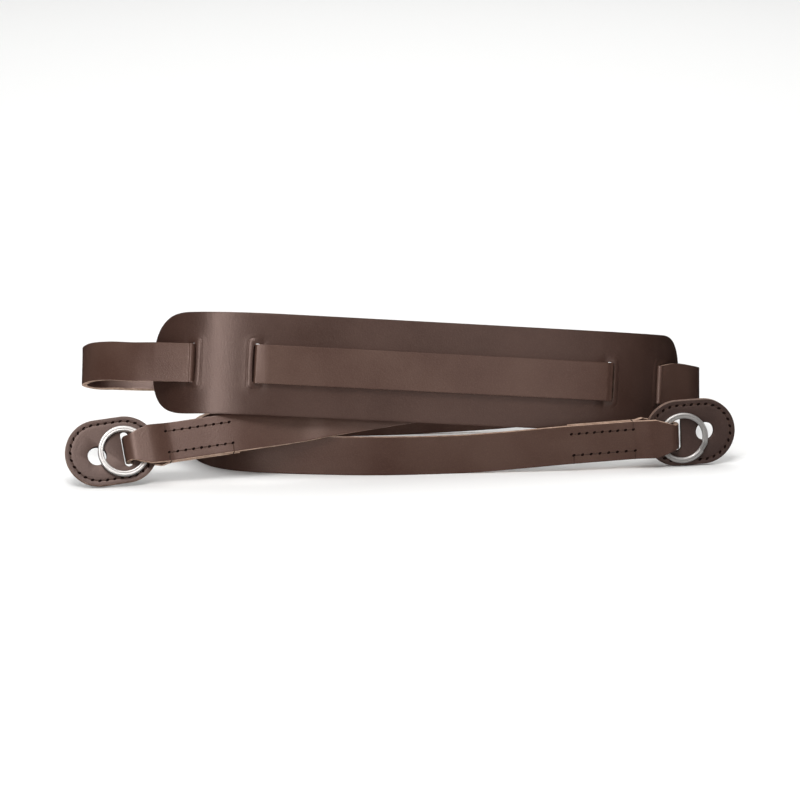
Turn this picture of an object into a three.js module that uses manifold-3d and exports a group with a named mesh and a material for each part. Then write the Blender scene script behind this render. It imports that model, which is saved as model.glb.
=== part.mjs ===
// Leather shoulder strap, laid down folded on a table: a long pad with four slots, one strap
// woven through it, and at each end of the strap a split ring and a stitched oval flap.
// Millimetres, +Z up, +X to the right. The pad faces the viewer, who stands on the -Y side.
import * as THREE from 'three';
import Module from 'manifold-3d';
import { mergeVertices } from 'three/addons/utils/BufferGeometryUtils.js';

const wasm = await Module();
wasm.setup();

// Strap
const strapWidth = 15;
const strapThickness = 2;
const neckWidth = 9.7; // where the strap is folded through ring and flap
const taperLength = 6.5; // from the neck to the full width
const jointLength = 27; // where the folded end lies on the strap and is stitched to it
const jointRise = 0.7; // of the joint to the front, over the middle between ring and flap
const easeShare = 0.25; // how far the front layer's slope runs on at both ends
// Pad
const padLength = 234;
const padHeight = 39.4;
const padThickness = 2;
const outerSlotSpacing = 193; // between the middles of the two outer slots
const innerSlotSpacing = 141; // between the middles of the two inner slots
const crossingAngle = 62; // degrees between strap and pad in a slot
const crossingRadius = 2; // of the strap's middle where it turns into a slot and out of it
const slotCornerRadius = 1;
const endRoundness = 2.3; // exponent of the pad's round ends, 2 for half circles
// Split rings
const ringDiameter = 20;
const ringWall = 2.1; // width of the flat wire
const ringWireThickness = 0.8;
const ringSplitAngle = 24; // degrees that the step from one turn to the other takes
// Flaps
const flapLength = 36.1;
const flapWidth = 26;
const flapPly = 1;
const flapSlotInset = 12.3; // from the end under the strap to the slot
const flapSlotLength = 14;
const flapSlotClearance = 0.6; // on each side of the folded strap
const flapHoleDiameter = 7.3;
const flapHoleSpacing = 11.7; // from the slot to the round hole
// Fits
const gap = 0.3; // between pieces that touch
const slotClearance = 0.4; // on each side of the strap in a slot
const edgeBevel = 0.35; // on every cut edge of leather
const wireBevel = 0.2;
// Facets
const sectionTurn = 9; // degrees between two sections of a bend
const sectionStep = 10;
const padStep = 4.5;
const roundSides = 10; // facets of a half circle
const turnSides = 34; // facets of one turn of a ring
const lineSteps = 400; // along the pad's middle line
const easeSteps = 10; // of a slope of the folded end
const arcSteps = 12; // of a fold
const slotSteps = 700; // of the strap where it is woven through the pad
const perSpan = 24; // trial sections between two stops of the strap
const tipShare = 0.35; // of a facet that the pad's last section stops short of the tip
const mergeDistance = 1e-4;

const radians = THREE.MathUtils.degToRad;
const halfPad = padLength / 2;

// Height of the strap's middle over the table. stack counts strap widths under its lower
// edge, and lift is the share of half the pad's height that is added near the pad.
const levelOf = (stack, lift) => strapWidth * (0.5 + stack) + (lift * padHeight) / 2;

// The pad's bends at shares of its length: the direction of its middle line seen from above,
// and how far that line dips to the right, in degrees
const padBends = [
  { at: -0.5, heading: -58, dip: -6 },
  { at: -0.46, heading: -46, dip: -5 },
  { at: -0.42, heading: -27, dip: -3.5 },
  { at: -0.37, heading: -9, dip: -2 },
  { at: -0.32, heading: 0.5, dip: -1 },
  { at: -0.27, heading: 6, dip: 0 },
  { at: -0.2, heading: 10.5, dip: 0 },
  { at: 0, heading: 12.5, dip: 0 },
  { at: 0.2, heading: 15, dip: 0 },
  { at: 0.27, heading: 18, dip: 0 },
  { at: 0.31, heading: 24, dip: 0 },
  { at: 0.36, heading: 38, dip: 0 },
  { at: 0.41, heading: 55, dip: 0 },
  { at: 0.46, heading: 65, dip: 0 },
  { at: 0.5, heading: 70, dip: 0 },
];
// The pad's middle: x and y as shares of its length, its height as stack and lift, and in
// degrees how far its top leans back and its right end hangs down
const padPlace = { x: 0.0603, y: 0.1265, stack: 0.79, lift: 1, lean: 11, roll: 2.9 };

// The two ends of the strap. x and y place the slot of the flap, as shares of the pad's
// length. yaw, tilt and lean, in degrees, turn the strap back, up and over at the joint.
// side is the way that the strap leaves, and the rest are shifts on the flap in millimetres.
const ends = {
  left: {
    side: 1, x: -0.4505, y: 0.0295, yaw: 13, tilt: 5.8, lean: 26,
    flapUp: 0.3, holeUp: -1.1, ringAlong: -1.4, ringUp: -0.8, splitAt: 5,
  },
  right: {
    side: -1, x: 0.4625, y: 0.172, yaw: -10, tilt: -3, lean: 0,
    flapUp: 1.5, holeUp: 0, ringAlong: -2.5, ringUp: -0.9, splitAt: 205,
  },
};

// The strap's route between the left end and the pad, as shares of the pad's length, with
// stack and lift for the height and lean in degrees. It runs right behind the pad, turns
// round there, comes back and turns over to the front at the left.
const leftRoute = [
  { x: -0.166, y: 0.093, stack: 0.888, lift: 0, lean: 20 },
  { x: -0.114, y: 0.099, stack: 1.03, lift: 0, lean: 18 },
  { x: 0.024, y: 0.137, stack: 1.262, lift: 0, lean: 14 },
  { x: 0.15, y: 0.175, stack: 1.443, lift: 0, lean: 8 },
  { x: 0.222, y: 0.201, stack: 1.53, lift: 0, lean: 3 },
  { x: 0.261, y: 0.239, stack: 1.52, lift: 0.05, lean: 2 },
  { x: 0.222, y: 0.276, stack: 1.48, lift: 0.1, lean: 3 },
  { x: 0.085, y: 0.276, stack: 1.41, lift: 0.2, lean: 6 },
  { x: -0.171, y: 0.259, stack: 1.24, lift: 0.4, lean: 15 },
  { x: -0.413, y: 0.241, stack: 0.985, lift: 0.6, lean: 36 },
  { x: -0.481, y: 0.234, stack: 0.955, lift: 0.65, lean: 41 },
  { x: -0.512, y: 0.217, stack: 0.975, lift: 0.7, lean: 38 },
  { x: -0.529, y: 0.184, stack: 1.045, lift: 0.8, lean: 29 },
  { x: -0.514, y: 0.155, stack: 1.063, lift: 0.94, lean: 19 },
  { x: -0.481, y: 0.13, stack: 1.1, lift: 1, lean: 18 },
  { x: -0.444, y: 0.114, stack: 1.13, lift: 1, lean: 17 },
  { x: -0.406, y: 0.103, stack: 1.165, lift: 1, lean: 14 },
];
// The route between the pad and the right end: round the right end, down to the table,
// left along the back, round at the left and along the front
const rightRoute = [
  { x: 0.47, y: 0.291, stack: 0.119, lift: 0.95, lean: 14 },
  { x: 0.494, y: 0.316, stack: 0.084, lift: 0.88, lean: 14 },
  { x: 0.511, y: 0.357, stack: 0.016, lift: 0.8, lean: 14 },
  { x: 0.505, y: 0.415, stack: 0.085, lift: 0.6, lean: 12 },
  { x: 0.468, y: 0.455, stack: 0.109, lift: 0.45, lean: 9 },
  { x: 0.397, y: 0.47, stack: 0.139, lift: 0.3, lean: 6 },
  { x: 0.214, y: 0.462, stack: 0.009, lift: 0.1, lean: 2 },
  { x: 0, y: 0.436, stack: 0, lift: 0, lean: 0 },
  { x: -0.162, y: 0.41, stack: 0, lift: 0, lean: 0 },
  { x: -0.261, y: 0.372, stack: 0, lift: 0, lean: 0 },
  { x: -0.321, y: 0.312, stack: 0, lift: 0, lean: 0 },
  { x: -0.344, y: 0.244, stack: 0, lift: 0, lean: 0 },
  { x: -0.33, y: 0.194, stack: 0, lift: 0, lean: 0 },
  { x: -0.305, y: 0.157, stack: 0, lift: 0, lean: 0 },
  { x: -0.255, y: 0.125, stack: 0, lift: 0, lean: 0 },
  { x: -0.133, y: 0.102, stack: 0, lift: 0, lean: 0 },
  { x: -0.028, y: 0.097, stack: 0, lift: 0, lean: 0 },
  { x: 0.11, y: 0.114, stack: 0, lift: 0, lean: 0 },
];

const leather = new THREE.MeshStandardMaterial({ color: 0x5c4840, roughness: 0.55, metalness: 0 });
const flapLeather = new THREE.MeshStandardMaterial({ color: 0x54423c, roughness: 0.55, metalness: 0 });
const nickel = new THREE.MeshStandardMaterial({ color: 0xc9c6c1, roughness: 0.3, metalness: 1 });

const group = new THREE.Group();

function addMesh(name, geometry, material) {
  const mesh = new THREE.Mesh(geometry, material);
  mesh.name = name;
  group.add(mesh);
  return mesh;
}

// Outline of a rectangular section with bevelled corners, across by up
function bevelledSection(across, up, bevel) {
  const a = across / 2;
  const u = up / 2;
  return [
    [bevel - a, -u],
    [a - bevel, -u],
    [a, bevel - u],
    [a, u - bevel],
    [a - bevel, u],
    [bevel - a, u],
    [-a, u - bevel],
    [-a, bevel - u],
  ];
}

// Closed skin over a row of sections that all have the same number of points
function skin(sections) {
  const sides = sections[0].length;
  const last = (sections.length - 1) * sides;
  const index = [];
  for (let row = 0; row < sections.length - 1; row += 1) {
    for (let side = 0; side < sides; side += 1) {
      const a = row * sides + side;
      const b = row * sides + ((side + 1) % sides);
      index.push(a, a + sides, b, b, a + sides, b + sides);
    }
  }
  for (let side = 1; side < sides - 1; side += 1) {
    index.push(0, side, side + 1);
    index.push(last, last + side + 1, last + side);
  }
  const geometry = new THREE.BufferGeometry();
  const points = sections.flat().flatMap((point) => [point.x, point.y, point.z]);
  geometry.setAttribute('position', new THREE.Float32BufferAttribute(points, 3));
  geometry.setIndex(index);
  return geometry;
}

function toSolid(geometry) {
  const bare = geometry.clone();
  bare.deleteAttribute('normal');
  bare.deleteAttribute('uv');
  const merged = mergeVertices(bare, mergeDistance);
  const vertProperties = new Float32Array(merged.attributes.position.array);
  const triVerts = new Uint32Array(merged.index.array);
  return new wasm.Manifold(new wasm.Mesh({ numProp: 3, vertProperties, triVerts }));
}

function fromSolid(solid) {
  const { vertProperties, triVerts } = solid.getMesh();
  const geometry = new THREE.BufferGeometry();
  geometry.setAttribute('position', new THREE.BufferAttribute(vertProperties, 3));
  geometry.setIndex(new THREE.BufferAttribute(triVerts, 1));
  geometry.computeVertexNormals();
  return geometry;
}

// Pad surface
// Its middle line is seen from above, with the pad's own middle at 0

function bendAt(share) {
  const next = Math.max(1, padBends.findIndex((row) => row.at >= share));
  const from = padBends[next - 1];
  const to = padBends[next];
  const part = (share - from.at) / (to.at - from.at);
  return {
    heading: radians(THREE.MathUtils.lerp(from.heading, to.heading, part)),
    dip: radians(THREE.MathUtils.lerp(from.dip, to.dip, part)),
  };
}

const padLine = [new THREE.Vector3(0, 0, 0)];
for (let step = 0; step < lineSteps; step += 1) {
  const { heading, dip } = bendAt((step + 0.5) / lineSteps - 0.5);
  const move = new THREE.Vector3(
    Math.cos(heading) * Math.cos(dip),
    Math.sin(heading) * Math.cos(dip),
    -Math.sin(dip),
  );
  padLine.push(padLine[step].clone().addScaledVector(move, padLength / lineSteps));
}
const padMiddle = padLine[lineSteps / 2].clone();
padLine.forEach((point) => point.sub(padMiddle));

const padTurn = new THREE.Matrix4().makeRotationFromEuler(
  new THREE.Euler(-radians(padPlace.lean), radians(padPlace.roll), 0, 'YXZ'),
);
const padOrigin = new THREE.Vector3(
  padPlace.x * padLength,
  padPlace.y * padLength,
  levelOf(padPlace.stack, padPlace.lift),
);
const padUp = new THREE.Vector3(0, 0, 1).applyMatrix4(padTurn);

// A point of the pad's middle surface: along from its middle, up it, and back from it
function onPad(along, up, back) {
  const share = THREE.MathUtils.clamp(along / padLength + 0.5, 0, 1);
  const step = Math.min(Math.floor(share * lineSteps), lineSteps - 1);
  const spot = padLine[step].clone().lerp(padLine[step + 1], share * lineSteps - step);
  const { heading } = bendAt(share - 0.5);
  spot.x -= back * Math.sin(heading);
  spot.y += back * Math.cos(heading);
  spot.z += up;
  return spot.applyMatrix4(padTurn).add(padOrigin);
}

// Pad: a bevelled sheet with round ends, cut by four slots
const crossing = radians(crossingAngle);
const slotWidth = (
  (strapThickness + 2 * slotClearance) / Math.sin(crossing) + padThickness / Math.tan(crossing)
);
const slotHeight = strapWidth + 2 * slotClearance;
const slotPlaces = [outerSlotSpacing, innerSlotSpacing].flatMap((spacing) => [-spacing / 2, spacing / 2]);

function padSections() {
  const endRadius = padHeight / 2;
  const flatHalf = halfPad - endRadius;
  const columns = [];
  for (let side = roundSides; side >= 1; side -= 1) {
    // The last column stops short of the tip, so that it keeps a height
    const angle = (Math.PI / 2) * (side / (roundSides + tipShare));
    columns.push({
      along: flatHalf + endRadius * Math.sin(angle) ** (2 / endRoundness),
      half: endRadius * Math.cos(angle) ** (2 / endRoundness),
    });
  }
  const steps = Math.ceil(flatHalf / padStep);
  for (let step = steps; step >= 0; step -= 1) {
    columns.push({ along: (flatHalf * step) / steps, half: endRadius });
  }
  const mirrored = columns.slice(0, -1).map((column) => ({ ...column, along: -column.along }));
  return [...mirrored, ...columns.reverse()].map(({ along, half }) => (
    bevelledSection(padThickness, 2 * half, edgeBevel).map(([back, up]) => onPad(along, up, -back))
  ));
}

function slotCutter(along) {
  const shape = new THREE.Shape();
  const w = slotWidth / 2;
  const h = slotHeight / 2;
  const r = slotCornerRadius;
  shape.absarc(w - r, h - r, r, 0, Math.PI / 2);
  shape.absarc(r - w, h - r, r, Math.PI / 2, Math.PI);
  shape.absarc(r - w, r - h, r, Math.PI, 1.5 * Math.PI);
  shape.absarc(w - r, r - h, r, 1.5 * Math.PI, 2 * Math.PI);
  const depth = 3 * padThickness;
  const cutter = new THREE.ExtrudeGeometry(shape, { depth, bevelEnabled: false, curveSegments: 3 });
  cutter.translate(0, 0, -depth / 2);
  const middle = onPad(along, 0, 0);
  const front = middle.clone().sub(onPad(along, 0, padThickness)).normalize();
  const right = new THREE.Vector3().crossVectors(padUp, front);
  const place = new THREE.Matrix4().makeBasis(right, padUp, front).setPosition(middle);
  return cutter.applyMatrix4(place);
}

let pad = toSolid(skin(padSections()));
slotPlaces.forEach((along) => {
  pad = pad.subtract(toSolid(slotCutter(along)));
});
addMesh('shoulder_pad', fromSolid(pad), leather);

// Ends: where flap, ring and the two layers of the strap lie, from front to back
const flapThickness = 2 * flapPly + gap;
const ringThickness = 2 * ringWireThickness + gap / 2;
const flapFace = flapThickness / 2;
const frontLevel = flapFace + gap + ringThickness + gap + strapThickness / 2;
const foldRadius = strapThickness / 2 + gap;
const backLevel = -flapFace - foldRadius;
const layerPitch = strapThickness + gap;
const jointLevel = (frontLevel + backLevel) / 2 + jointRise;
const jointStart = flapSlotInset + 2 * strapThickness;
const jointEnd = jointStart + jointLength;
const flapSlotWidth = strapThickness + 2 * flapSlotClearance;

// Right-handed axes at an end: along the strap, up it, and across. front is 1 where across
// points to the viewer and -1 where it points away.
function endFrame({ side, x, y, yaw, tilt, lean, flapUp }) {
  const level = Math.cos(radians(tilt));
  const along = new THREE.Vector3(
    side * Math.cos(radians(yaw)) * level,
    Math.sin(radians(yaw)) * level,
    Math.sin(radians(tilt)),
  );
  const upright = new THREE.Vector3(0, Math.sin(radians(lean)), Math.cos(radians(lean)));
  const up = upright.addScaledVector(along, -upright.dot(along)).normalize();
  const across = new THREE.Vector3().crossVectors(along, up);
  const radius = flapWidth / 2;
  const reach = radius * Math.hypot(along.z, up.z) + flapFace * Math.abs(across.z);
  const nearEnd = (flapSlotInset - radius) * along.z;
  const farEnd = (flapSlotInset - flapLength + radius) * along.z;
  const flapOrigin = new THREE.Vector3(x * padLength, y * padLength, reach - Math.min(nearEnd, farEnd));
  const origin = flapOrigin.clone().addScaledVector(up, -flapUp);
  return { along, up, across, front: side, origin, flapOrigin };
}

function inFrame(frame, along, forward) {
  return frame.origin.clone()
    .addScaledVector(frame.along, along)
    .addScaledVector(frame.across, forward * frame.front);
}

const widthAt = (along) => THREE.MathUtils.lerp(
  neckWidth,
  strapWidth,
  THREE.MathUtils.clamp((along - foldRadius) / taperLength, 0, 1),
);

// The strap's middle line at an end, from the tip of the folded layer round through flap and
// ring to the front layer: distance from the slot, distance to the front and width
function endProfile() {
  const profile = [];
  const push = (along, forward) => profile.push({ along, forward, width: widthAt(along) });
  const ease = (from, to, levelFrom, levelTo) => {
    for (let step = 0; step <= easeSteps; step += 1) {
      const part = step / easeSteps;
      const level = THREE.MathUtils.lerp(levelFrom, levelTo, part * part * (3 - 2 * part));
      push(THREE.MathUtils.lerp(from, to, part), level);
    }
  };
  const arc = (radius, level, angleFrom, angleTo) => {
    for (let step = 0; step <= arcSteps; step += 1) {
      const angle = THREE.MathUtils.lerp(angleFrom, angleTo, step / arcSteps);
      push(radius - radius * Math.cos(angle), level + radius * Math.sin(angle));
    }
  };
  const backJoint = jointLevel - layerPitch / 2;
  const frontJoint = jointLevel + layerPitch / 2;
  const ringEdge = ringDiameter / 2;
  push(jointEnd, backJoint);
  push((jointStart + jointEnd) / 2, backJoint);
  ease(jointStart, flapSlotInset + gap, backJoint, backLevel);
  arc(foldRadius, -flapFace, -Math.PI / 2, 0);
  arc(frontLevel - flapFace, flapFace, 0, Math.PI / 2);
  const runOn = easeShare * (jointStart - ringEdge);
  ease(ringEdge - runOn, jointStart + runOn, frontLevel, frontJoint);
  push((jointStart + jointEnd) / 2, frontJoint);
  push(jointEnd, frontJoint);
  return profile;
}

const frames = { left: endFrame(ends.left), right: endFrame(ends.right) };

// Strap: the route as points with an upright and a width, then sections across it
function endPoints(frame) {
  return endProfile().map(({ along, forward, width }) => (
    { point: inFrame(frame, along, forward), upright: frame.up, width }
  ));
}

function routePoints(table) {
  return table.map(({ x, y, stack, lift, lean }) => ({
    point: new THREE.Vector3(x * padLength, y * padLength, levelOf(stack, lift)),
    upright: new THREE.Vector3(0, Math.sin(radians(lean)), Math.cos(radians(lean))),
    width: strapWidth,
  }));
}

// How far behind the pad's middle the strap is. It runs straight through each slot, in an
// arc on either side, and leaves the pad soon after the outer slots.
const layerOffset = (padThickness + strapThickness) / 2 + gap;
const straightHalf = (
  (layerOffset - crossingRadius * (1 - Math.cos(crossing))) / Math.tan(crossing)
);
const crossingHalf = straightHalf + crossingRadius * Math.sin(crossing);

function strapBehind(along) {
  const fromOuter = outerSlotSpacing / 2 - Math.abs(along);
  const fromInner = Math.abs(along) - innerSlotSpacing / 2;
  const distance = Math.min(fromOuter, fromInner);
  const size = Math.abs(distance);
  if (size < straightHalf) {
    return distance * Math.tan(crossing);
  }
  const left = Math.max(0, crossingHalf - size);
  return Math.sign(distance) * (
    layerOffset - crossingRadius + Math.sqrt(crossingRadius ** 2 - left ** 2)
  );
}

function padPoints() {
  const reach = outerSlotSpacing / 2 + 2 * straightHalf;
  return Array.from({ length: slotSteps + 1 }, (unused, step) => {
    const along = THREE.MathUtils.lerp(-reach, reach, step / slotSteps);
    return { point: onPad(along, 0, strapBehind(along)), upright: padUp, width: strapWidth };
  });
}

const stops = [
  ...endPoints(frames.left),
  ...routePoints(leftRoute),
  ...padPoints(),
  ...routePoints(rightRoute),
  ...endPoints(frames.right).reverse(),
];

// Runs a centripetal curve through the stops and keeps a section wherever the strap has
// turned far enough or gone far enough since the last one
function strapSections() {
  const curve = new THREE.CatmullRomCurve3(stops.map((stop) => stop.point), false, 'centripetal');
  const spans = stops.length - 1;
  const kept = [];
  let lastTangent = null;
  let lastPoint = null;
  for (let step = 0; step <= spans * perSpan; step += 1) {
    const span = Math.min(Math.floor(step / perSpan), spans - 1);
    const part = step / perSpan - span;
    const point = curve.getPoint(step / (spans * perSpan));
    const tangent = curve.getTangent(step / (spans * perSpan));
    const isEnd = step === 0 || step === spans * perSpan;
    if (
      isEnd
      || tangent.angleTo(lastTangent) > radians(sectionTurn)
      || point.distanceTo(lastPoint) > sectionStep
    ) {
      const from = stops[span];
      const to = stops[span + 1];
      const upright = from.upright.clone().lerp(to.upright, part);
      const up = upright.addScaledVector(tangent, -upright.dot(tangent)).normalize();
      const across = new THREE.Vector3().crossVectors(tangent, up);
      const width = THREE.MathUtils.lerp(from.width, to.width, part);
      kept.push(bevelledSection(strapThickness, width, edgeBevel).map(([side, rise]) => (
        point.clone().addScaledVector(across, side).addScaledVector(up, rise)
      )));
      lastTangent = tangent;
      lastPoint = point;
    }
  }
  return kept;
}

addMesh('strap_band', skin(strapSections()), leather);

// Flaps: two stitched plies with a slot for the strap and a round hole for the camera's lug
function flapGeometry(holeUp) {
  const radius = flapWidth / 2;
  const shape = new THREE.Shape();
  shape.absarc(flapSlotInset - radius, 0, radius, -Math.PI / 2, Math.PI / 2);
  shape.absarc(flapSlotInset - flapLength + radius, 0, radius, Math.PI / 2, 1.5 * Math.PI);
  const slot = new THREE.Path();
  const slotRadius = flapSlotWidth / 2;
  const slotEnd = flapSlotLength / 2 - slotRadius;
  slot.absarc(0, slotEnd, slotRadius, 0, Math.PI);
  slot.absarc(0, -slotEnd, slotRadius, Math.PI, 2 * Math.PI);
  const hole = new THREE.Path();
  hole.absarc(-flapHoleSpacing, holeUp, flapHoleDiameter / 2, 0, 2 * Math.PI);
  shape.holes.push(slot, hole);
  const bevel = Math.min(edgeBevel, flapPly / 3);
  const depth = flapPly - 2 * bevel;
  const geometry = new THREE.ExtrudeGeometry(shape, {
    depth,
    bevelThickness: bevel,
    bevelSize: bevel,
    bevelOffset: -bevel,
    bevelSegments: 1,
    curveSegments: roundSides,
  });
  return geometry.translate(0, 0, -depth / 2);
}

// A split ring: flat wire in two turns, with a step from the first to the second
function ringGeometry() {
  const pitch = ringWireThickness + gap / 2;
  const middleRadius = (ringDiameter - ringWall) / 2;
  const split = radians(ringSplitAngle);
  const start = split / 2;
  const end = 4 * Math.PI - split / 2;
  const sections = [];
  for (let side = 0; side <= 2 * turnSides; side += 1) {
    const angle = THREE.MathUtils.lerp(start, end, side / (2 * turnSides));
    const step = THREE.MathUtils.smoothstep(angle, 2 * Math.PI - split / 2, 2 * Math.PI + split / 2);
    const level = pitch * (step - 0.5);
    const section = bevelledSection(ringWireThickness, ringWall, wireBevel);
    sections.push(section.map(([across, outward]) => new THREE.Vector3(
      (middleRadius + outward) * Math.cos(angle),
      (middleRadius + outward) * Math.sin(angle),
      level - across,
    )));
  }
  return skin(sections);
}

function placeOn(frame, mesh, origin, along, up, forward) {
  const turn = new THREE.Matrix4().makeBasis(frame.along, frame.up, frame.across);
  mesh.quaternion.setFromRotationMatrix(turn);
  mesh.position.copy(origin)
    .addScaledVector(frame.along, along)
    .addScaledVector(frame.up, up)
    .addScaledVector(frame.across, forward * frame.front);
}

Object.entries(ends).forEach(([name, end]) => {
  const frame = frames[name];
  const plyLevel = (flapPly + gap) / 2;
  const frontPly = addMesh(`flap_${name}_front_ply`, flapGeometry(end.holeUp), flapLeather);
  placeOn(frame, frontPly, frame.flapOrigin, 0, 0, plyLevel);
  const backPly = addMesh(`flap_${name}_back_ply`, flapGeometry(end.holeUp), flapLeather);
  placeOn(frame, backPly, frame.flapOrigin, 0, 0, -plyLevel);
  const ring = addMesh(`split_ring_${name}`, ringGeometry(), nickel);
  const ringLevel = flapFace + gap + ringThickness / 2;
  placeOn(frame, ring, frame.origin, end.ringAlong, end.ringUp, ringLevel);
  ring.rotateZ(radians(end.splitAt));
});

// The frame's origin is under the middle of the whole part, on the table
group.updateMatrixWorld(true);
const bounds = new THREE.Box3().setFromObject(group, true);
const middle = bounds.getCenter(new THREE.Vector3());
group.position.set(-middle.x, -middle.y, -bounds.min.z);

export default group;
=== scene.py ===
"""Leather shoulder strap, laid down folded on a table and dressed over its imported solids."""

import math

import bpy
from mathutils import Matrix, Vector


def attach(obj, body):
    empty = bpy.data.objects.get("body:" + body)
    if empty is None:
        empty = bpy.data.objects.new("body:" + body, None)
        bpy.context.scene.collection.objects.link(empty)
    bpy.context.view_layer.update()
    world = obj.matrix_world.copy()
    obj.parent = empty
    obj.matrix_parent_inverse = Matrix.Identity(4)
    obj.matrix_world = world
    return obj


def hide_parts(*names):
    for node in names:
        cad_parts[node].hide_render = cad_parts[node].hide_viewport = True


# Camera: in front of the laid strap and 11 degrees over the table, with a long lens. Made
# first. One of the 800 pixels covers 0.39 mm at the point that it aims at.
aim = Vector((-0.0015, -0.0247, 0.0283))
camera_distance = 1.6
camera_lift = math.radians(11)
view_width = 0.312
bpy.ops.object.camera_add(
    location=aim
    + camera_distance * Vector((0, -math.cos(camera_lift), math.sin(camera_lift))),
    rotation=(math.pi / 2 - camera_lift, 0, 0),
)
camera = bpy.context.object
camera.data.sensor_width = 36
camera.data.lens = camera.data.sensor_width * camera_distance / view_width
bpy.context.scene.camera = camera

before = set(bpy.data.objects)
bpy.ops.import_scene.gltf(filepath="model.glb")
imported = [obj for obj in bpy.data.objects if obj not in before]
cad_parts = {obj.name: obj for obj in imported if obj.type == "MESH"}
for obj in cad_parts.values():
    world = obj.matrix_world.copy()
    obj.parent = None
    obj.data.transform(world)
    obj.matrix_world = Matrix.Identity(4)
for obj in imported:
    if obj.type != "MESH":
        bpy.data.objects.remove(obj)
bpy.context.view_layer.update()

# Shoulder pad: one long sheet of 2 mm leather with round ends, cut with four slots that the
# strap is woven through. It is cut flat, then bent: nearly straight in the middle, and turned
# back at both ends, where the strap pulls it round.
millimetre = 0.001
drawing_shift = Vector((-1.465, -54.773, 0.12))
strap_width = 15
strap_thickness = 2
pad_length = 234
pad_height = 39.4
pad_thickness = 2
pad_tip_columns = 26
tip_share = 0.35
pad_column = 1.3
end_roundness = 2.3
slot_centres = (-96, -70.8, 70.8, 96)
slot_half_width = 1.5
slot_half_height = 7.75
slot_corner = 1.2
slot_bow = 0.35
lip_height = 0.5
lip_reach = 2.2
lip_middle = 0.25
crease_distance = 2
crease_width = 0.5
crease_depth = 0.11
leather_round = 0.5
sharp_angle = math.radians(50)
# Place along the pad as a share of its length, heading and dip in degrees
pad_bends = (
    (-0.5, -58, -6),
    (-0.46, -46, -5),
    (-0.42, -27, -3.5),
    (-0.37, -9, -2),
    (-0.32, 0.5, -1),
    (-0.27, 6, 0),
    (-0.2, 10.5, 0),
    (0, 12.5, 0),
    (0.2, 15, 0),
    (0.27, 18, 0),
    (0.31, 24, 0),
    (0.36, 38, 0),
    (0.41, 55, 0),
    (0.46, 65, 0),
    (0.5, 70, 0),
)
# x and y are shares of the pad's length, stack counts strap widths below, lift is a share of
# the pad's half height, and lean and roll are in degrees
pad_place = {"x": 0.0603, "y": 0.1265, "stack": 0.79, "lift": 1, "lean": 11, "roll": 2.9}


def placed(point):
    """A point of the drawing, in millimetres, as metres in the part's frame."""
    return (point + drawing_shift) * millimetre


def level_of(stack, lift):
    return strap_width * (0.5 + stack) + lift * pad_height / 2


def bend_at(share):
    for (a, heading_a, dip_a), (b, heading_b, dip_b) in zip(pad_bends, pad_bends[1:]):
        if share <= b:
            break
    part = (share - a) / (b - a)
    heading = math.radians(heading_a + (heading_b - heading_a) * part)
    return heading, math.radians(dip_a + (dip_b - dip_a) * part)


line_steps = 400
pad_line = [Vector((0, 0, 0))]
for step in range(line_steps):
    heading, dip = bend_at((step + 0.5) / line_steps - 0.5)
    level_share = math.cos(dip)
    move = Vector((math.cos(heading) * level_share, math.sin(heading) * level_share, -math.sin(dip)))
    pad_line.append(pad_line[-1] + move * pad_length / line_steps)
pad_middle = pad_line[line_steps // 2].copy()
pad_turn = (
    Matrix.Rotation(math.radians(pad_place["roll"]), 3, "Y")
    @ Matrix.Rotation(-math.radians(pad_place["lean"]), 3, "X")
)
pad_origin = Vector(
    (
        pad_place["x"] * pad_length,
        pad_place["y"] * pad_length,
        level_of(pad_place["stack"], pad_place["lift"]),
    )
)
pad_up = pad_turn @ Vector((0, 0, 1))


def on_pad(along, up, back):
    """A point of the pad's middle surface: along it, up it, and back from it."""
    share = min(max(along / pad_length + 0.5, 0), 1) * line_steps
    step = min(int(share), line_steps - 1)
    spot = pad_line[step].lerp(pad_line[step + 1], share - step) - pad_middle
    heading = bend_at(share / line_steps - 0.5)[0]
    spot += Vector((-back * math.sin(heading), back * math.cos(heading), up))
    return pad_turn @ spot + pad_origin


def add_grid(name, columns, rows, place):
    """A grid primitive with one vertex for each column and row, each moved to its place."""
    bpy.ops.object.select_all(action="DESELECT")
    bpy.ops.mesh.primitive_grid_add(
        x_subdivisions=len(columns) - 1, y_subdivisions=len(rows) - 1, size=2
    )
    piece = bpy.context.object
    piece.name = name
    piece.data.name = name
    for vertex in piece.data.vertices:
        column = round((vertex.co.x + 1) / 2 * (len(columns) - 1))
        row = round((vertex.co.y + 1) / 2 * (len(rows) - 1))
        vertex.co = place(columns[column], rows[row])
    return piece


def apply_modifier(piece, kind, **settings):
    bpy.ops.object.select_all(action="DESELECT")
    piece.select_set(True)
    bpy.context.view_layer.objects.active = piece
    modifier = piece.modifiers.new(kind.title(), kind)
    for key, value in settings.items():
        setattr(modifier, key, value)
    bpy.ops.object.modifier_apply(modifier=modifier.name)


def make_thick(piece, thickness, **settings):
    """Turns a sheet into leather of a thickness, with the second material on its cut edges."""
    apply_modifier(
        piece,
        "SOLIDIFY",
        thickness=thickness * millimetre,
        offset=0,
        material_offset_rim=1,
        **settings,
    )


def round_edges(piece, rounding):
    """Rounds the cut edges over and shades the faces smooth."""
    apply_modifier(
        piece,
        "BEVEL",
        width=rounding * millimetre,
        segments=3,
        limit_method="ANGLE",
        angle_limit=sharp_angle,
    )
    bpy.ops.object.shade_smooth_by_angle(angle=sharp_angle)


def split_evenly(start, end, spacing):
    count = max(1, math.ceil((end - start) / spacing))
    return [start + (end - start) * step / count for step in range(count)]


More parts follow.
